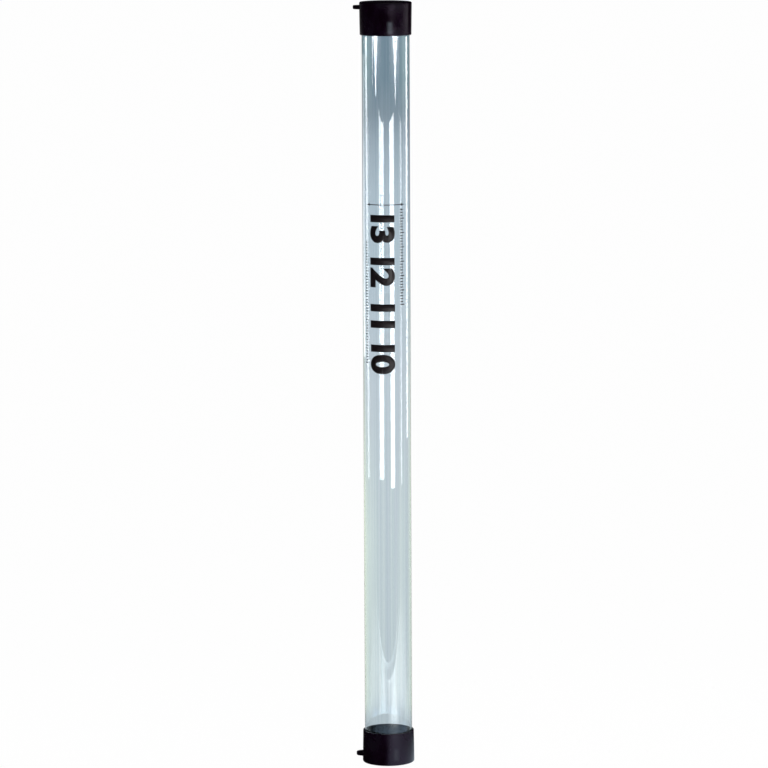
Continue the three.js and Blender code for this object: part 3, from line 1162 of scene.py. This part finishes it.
foot_glow = calculate(tree, "MULTIPLY_ADD", rise(tree, distance, 0.12, 0.3), -1.0, 2.0)
near_path = product(tree, rise(tree, sideways, -0.04, 0.10), NEAR_PATH_SHARE)
path_share = calculate(tree, "MAXIMUM", path_start, near_path)
table_in_mirrors = table_seen(product(tree, right_side, foot_glow), path_share)
near_cap = product(tree, fall(tree, distance, 0.045, 0.10), rise(tree, sideways, -0.3, 0.35))
near_cap = product(tree, near_cap, NEAR_CAP_LEVEL)
behind = product(tree, rise(tree, northwards, 0.8, 0.97), BEHIND_LEVEL)
bounced = calculate(tree, "MAXIMUM", calculate(tree, "MAXIMUM", near_cap, behind), DARKEST_LEVEL)
mirror_view = on_colours(tree, "MAXIMUM", table_in_mirrors, bounced)
print("with mirror views:", len(tree.nodes), "nodes")

# %% [markdown]
# Rays through the plastic see the ground. Where a wall has mirrored them on the way, they see the table
# as well, and close to the foot the ground itself is bright, except at the far left. That is the
# brightness that the photograph shows just above the lower cap.

# %% What the plastic shows
LEFT_LEVEL = 1.4
FOOT_STOPS = [
    (0.0, (0.2, 0.24, 0.3)),
    (0.02, (0.6, 0.75, 0.9)),
    (0.06, (1.2, 1.5, 1.8)),
    (0.35, (1.8, 2.2, 2.8)),
]

left_side = product(tree, rise(tree, distance, 0.22, 0.36), LEFT_LEVEL)
both_sides = calculate(tree, "MAXIMUM", right_side, left_side)
table_in_walls = on_colours(tree, "SCALE", table_seen(both_sides, path_start), mirrored)
foot_light = ramp(tree, calculate(tree, "MULTIPLY_ADD", sideways, 0.5, 0.5), FOOT_STOPS)
foot_share = product(tree, mirrored, fall(tree, distance, 0.28, 0.36), fall(tree, northwards, -0.1, 0.3))
foot_light = mixed_colour(tree, foot_share, (1, 1, 1, 1), foot_light)
lit_ground = on_colours(tree, "MULTIPLY", ground, foot_light)
through_view = on_colours(tree, "MAXIMUM", table_in_walls, lit_ground)
print("with views through the plastic:", len(tree.nodes), "nodes")

# %% [markdown]
# The floor's shader now chooses between these views. To the camera it is white, with a trace of a real
# white surface mixed in for the object's shadow. Seen from below it is left out, so that the underside
# can be looked at.

# %% Floor
FLOOR_HALF = 30
SHADOW_SHARE = 0.015
FLOOR_WHITE = (0.8, 0.8, 0.8, 1)

white = add_node(tree, "ShaderNodeBsdfDiffuse", {"Color": FLOOR_WHITE}).outputs[0]
camera_view = add_node(tree, "ShaderNodeMixShader", {0: SHADOW_SHARE, 1: glow(tree, grey(1.0)), 2: white})
seen = seen_from(tree, white, glow(tree, mirror_view), glow(tree, through_view), camera_view.outputs[0])
underneath = add_node(tree, "ShaderNodeNewGeometry").outputs["Backfacing"]
nothing = add_node(tree, "ShaderNodeBsdfTransparent").outputs[0]
from_below = add_node(tree, "ShaderNodeMixShader", {0: underneath, 1: seen, 2: nothing})
add_node(tree, "ShaderNodeOutputMaterial", {"Surface": from_below.outputs[0]})

build = bmesh.new()
bmesh.ops.create_grid(build, x_segments=8, y_segments=8, size=FLOOR_HALF)
floor = piece_from("floor", build)
floor.data.materials.append(floor_finish)
print("floor", 2 * FLOOR_HALF, "m square,", len(tree.nodes), "nodes")

# %% [markdown]
# The world is the same idea in the round: white to the camera, a dark room to mirror rays, a blue-grey
# one to rays through the plastic, and a soft, low fill for everything else, so that the black caps stay
# black.

# %% World
FILL_LEVEL = 0.30
DARK_ROOM = (0.004, 0.003, 0.004)
ROOM_THROUGH_PLASTIC = (0.50, 0.58, 0.64)

world = bpy.data.worlds.new("studio")
bpy.context.scene.world = world
world.use_nodes = True
tree = world.node_tree
tree.nodes.clear()


def backdrop(colour):
    """A background shader of one colour."""
    return add_node(tree, "ShaderNodeBackground", {"Color": (*colour, 1), "Strength": 1.0}).outputs[0]


room_views = [backdrop(colour) for colour in (grey(FILL_LEVEL), DARK_ROOM, ROOM_THROUGH_PLASTIC, grey(1.0))]
add_node(tree, "ShaderNodeOutputWorld", {"Surface": seen_from(tree, *room_views)})
print("world:", len(tree.nodes), "nodes")

# %% [markdown]
# Most of the lamps stand to the right. The front wall mirrors each of them once, and the back wall once
# more, turned round. Their shapes show in the plastic, so each lamp is a glowing sheet bent round the
# tube's axis and cut to an outline. An area lamp would be simpler, but it can only be a rectangle. A
# sheet can also be kept to one wall, because the photograph's two images of a lamp differ a little in
# place and length.

# %% A helper for lamps that show in the plastic
def glowing_sheet(name, distance, outline, foot, head, wall="both", in_caps=False):
    """A bent sheet of light that the camera doesn't see.

    The outline holds columns of (azimuth below, azimuth above, low, high), in degrees and metres, and foot
    and head are the radiance at the lowest and the highest point. A sheet for one wall is dark in the other,
    and in_caps lets the caps and the tube's outer face mirror it too.
    """
    build = bmesh.new()
    columns = []
    for below, above, low, high in outline:
        column = []
        for height, turn in ((low, math.radians(below)), (high, math.radians(above))):
            place = (distance * math.sin(turn), -distance * math.cos(turn), height)
            column.append(build.verts.new(place))
        columns.append(column)
    for (a, b), (c, d) in zip(columns, columns[1:]):
        build.faces.new((a, c, d, b))
    sheet = piece_from(name, build)

    finish, tree = unlit_finish(name)
    place = add_node(tree, "ShaderNodeNewGeometry").outputs["Position"]
    level = add_node(tree, "ShaderNodeMapRange", {
        "Value": add_node(tree, "ShaderNodeSeparateXYZ", {0: place}).outputs[2],
        "From Min": min(column[2] for column in outline),
        "From Max": max(column[3] for column in outline),
        "To Min": foot,
        "To Max": head,
    }).outputs["Result"]
    if wall != "both":
        faces_crossed = add_node(tree, "ShaderNodeLightPath").outputs["Transmission Depth"]
        operation = "LESS_THAN" if wall == "front" else "GREATER_THAN"
        level = product(tree, level, calculate(tree, operation, faces_crossed, BETWEEN_WALLS))
    nothing = add_node(tree, "ShaderNodeBsdfTransparent").outputs[0]
    see_through = add_node(tree, "ShaderNodeAddShader", {0: glow(tree, grey(1.0), level), 1: nothing})
    add_node(tree, "ShaderNodeOutputMaterial", {"Surface": see_through.outputs[0]})
    sheet.data.materials.append(finish)
    sheet.visible_camera = False
    sheet.visible_shadow = False
    sheet.visible_glossy = in_caps
    return sheet


# %% [markdown]
# A tall softbox makes the pair of streaks in the middle of the tube. Both streaks start square and end in
# slanting lines, which differ from one wall to the other, so each wall has an outline of its own.

# %% Softbox
SOFTBOX_DISTANCE = 1.1
BRIGHTEST = 10
FRONT_SOFTBOX = [(18.5, 15, 0.2545, 0.906), (28, 26, 0.2545, 0.912), (37, 37, 0.2545, 0.924)]
BACK_SOFTBOX = [
    (17, 12, 0.246, 0.893), (26, 21, 0.246, 0.893), (35, 32, 0.246, 0.902), (40, 37, 0.246, 0.917),
]

glowing_sheet("softbox_in_front_wall", SOFTBOX_DISTANCE, FRONT_SOFTBOX, 9, 9, "front", in_caps=True)
glowing_sheet("softbox_in_back_wall", SOFTBOX_DISTANCE, BACK_SOFTBOX, BRIGHTEST, BRIGHTEST, "back")
print("softbox", SOFTBOX_DISTANCE, "m from the axis")

# %% [markdown]
# A high lamp on the right makes the two white spikes under the top cap, and a narrow one on the left the
# thin line beside them. Cycles keeps mirrored light below a limit, so no single sheet can look brighter
# than the softbox does. Light adds up through see-through sheets, though, so two in a row reach pure
# white.

# %% High lamps
LAMP_DISTANCE = 1.2
LAYER_GAP = 0.003
SHEET_TOP = 1.062
HIGHEST_START = 1.06
HALF_SPIKE = [
    (14, 1.052), (11, 1.036), (7.8, 1.018), (5.2, 1.0),
    (4.2, 0.981), (2.9, 0.963), (2.2, 0.943), (0, 0.928),
]
spike = [(-offset, low) for offset, low in HALF_SPIKE] + list(reversed(HALF_SPIKE[:-1]))
for name, wall, middle, width, lift in (
    ("right_high_lamp", "front", 46.6, 1, 0),
    ("right_high_lamp_twin", "back", 53.3, 1, 0),
    ("left_high_lamp", "front", -67.4, 0.36, 0.022),
):
    columns = []
    for offset, low in spike:
        turn = middle + width * offset
        columns.append((turn, turn, min(low + lift, HIGHEST_START), SHEET_TOP))
    for layer in (1, 2):
        layer_distance = LAMP_DISTANCE + LAYER_GAP * (layer - 1)
        glowing_sheet(f"{name}_{layer}", layer_distance, columns, BRIGHTEST, BRIGHTEST, wall)
print("spikes start", HALF_SPIKE[-1][1], "m above the floor")

# %% [markdown]
# The plastic round the spikes is a little brighter towards the top, like the glow round a real lamp.
# Faint sheets behind the high lamp, wider towards the middle of the tube, give that glow.

# %% Haze round the high lamp
HAZE_DISTANCE = 1.21
HAZE_LOW = 0.945

for name, wall, middle, outer, head in (
    ("high_lamp_haze", "front", 46.6, 20, 2.6),
    ("high_lamp_haze_twin", "back", 53.3, 7, 1.4),
):
    for inner in (28, 18):
        columns = [(turn, turn, HAZE_LOW, SHEET_TOP) for turn in (middle - inner, middle + outer)]
        glowing_sheet(f"{name}_{inner}", HAZE_DISTANCE, columns, 0, head, wall)
print("haze sheets", HAZE_DISTANCE, "m from the axis")

# %% [markdown]
# Two strips far round to the sides draw the thin lines along the tube's edges. A faint line shows once,
# in the outer face alone, so rays through the plastic leave it out. A faint light further back brightens
# the left edge.

# %% Edge strips and faint lights
STRIP_DISTANCE = 1.0
STRIP_TOP = 1.06

for name, below, above, low, foot, head in (
    ("right_strip", (109.5, 121.5), (112.5, 128), 0.356, 6.5, 9.5),
    ("left_strip", (-109.5, -98.5), (-119.5, -104), 0.284, 5.0, 8.5),
):
    outline = [(turn_below, turn_above, low, STRIP_TOP) for turn_below, turn_above in zip(below, above)]
    glowing_sheet(name, STRIP_DISTANCE, outline, foot, head, "front")
die_line = [(68, 70.5, 0.276, 0.914), (76, 78.5, 0.276, 0.914)]
right_die_line = glowing_sheet("right_die_line", STRIP_DISTANCE, die_line, 4.4, 5.4, in_caps=True)
right_die_line.visible_transmission = False
left_edge = [(-150, -150, 0.5, 1.03), (-126, -126, 0.5, 1.03)]
glowing_sheet("left_edge_light", STRIP_DISTANCE, left_edge, 1.3, 0.4, "front", in_caps=True)
print("strips", STRIP_DISTANCE, "m from the axis")

# %% [markdown]
# Two plain panels give the black caps a soft side and a soft upper edge where the plastic's lamps don't
# reach them: one to the right and one overhead. Neither shows through the tube.

# %% Panels for the caps
POWER_PER_RADIANCE = 4


def panel(name, place, aim, size, radiance):
    """A square area lamp that neither the camera nor the clear plastic shows."""
    light = bpy.data.lights.new(name, "AREA")
    light.size = size
    light.energy = POWER_PER_RADIANCE * size * size * radiance
    holder = bpy.data.objects.new(name, light)
    bpy.context.scene.collection.objects.link(holder)
    turned = (Vector(aim) - Vector(place)).to_track_quat("-Z", "Y").to_matrix().to_4x4()
    holder.matrix_world = Matrix.Translation(place) @ turned
    holder.visible_camera = False
    holder.visible_transmission = False
    return holder


panel("side_panel", (2.0, 0.38, 1.0), (0, 0, 0.6), 1.2, 0.5)
panel("overhead_panel", (0.45, 0.2, 2.7), (0, 0, 0), 1.1, 0.45)
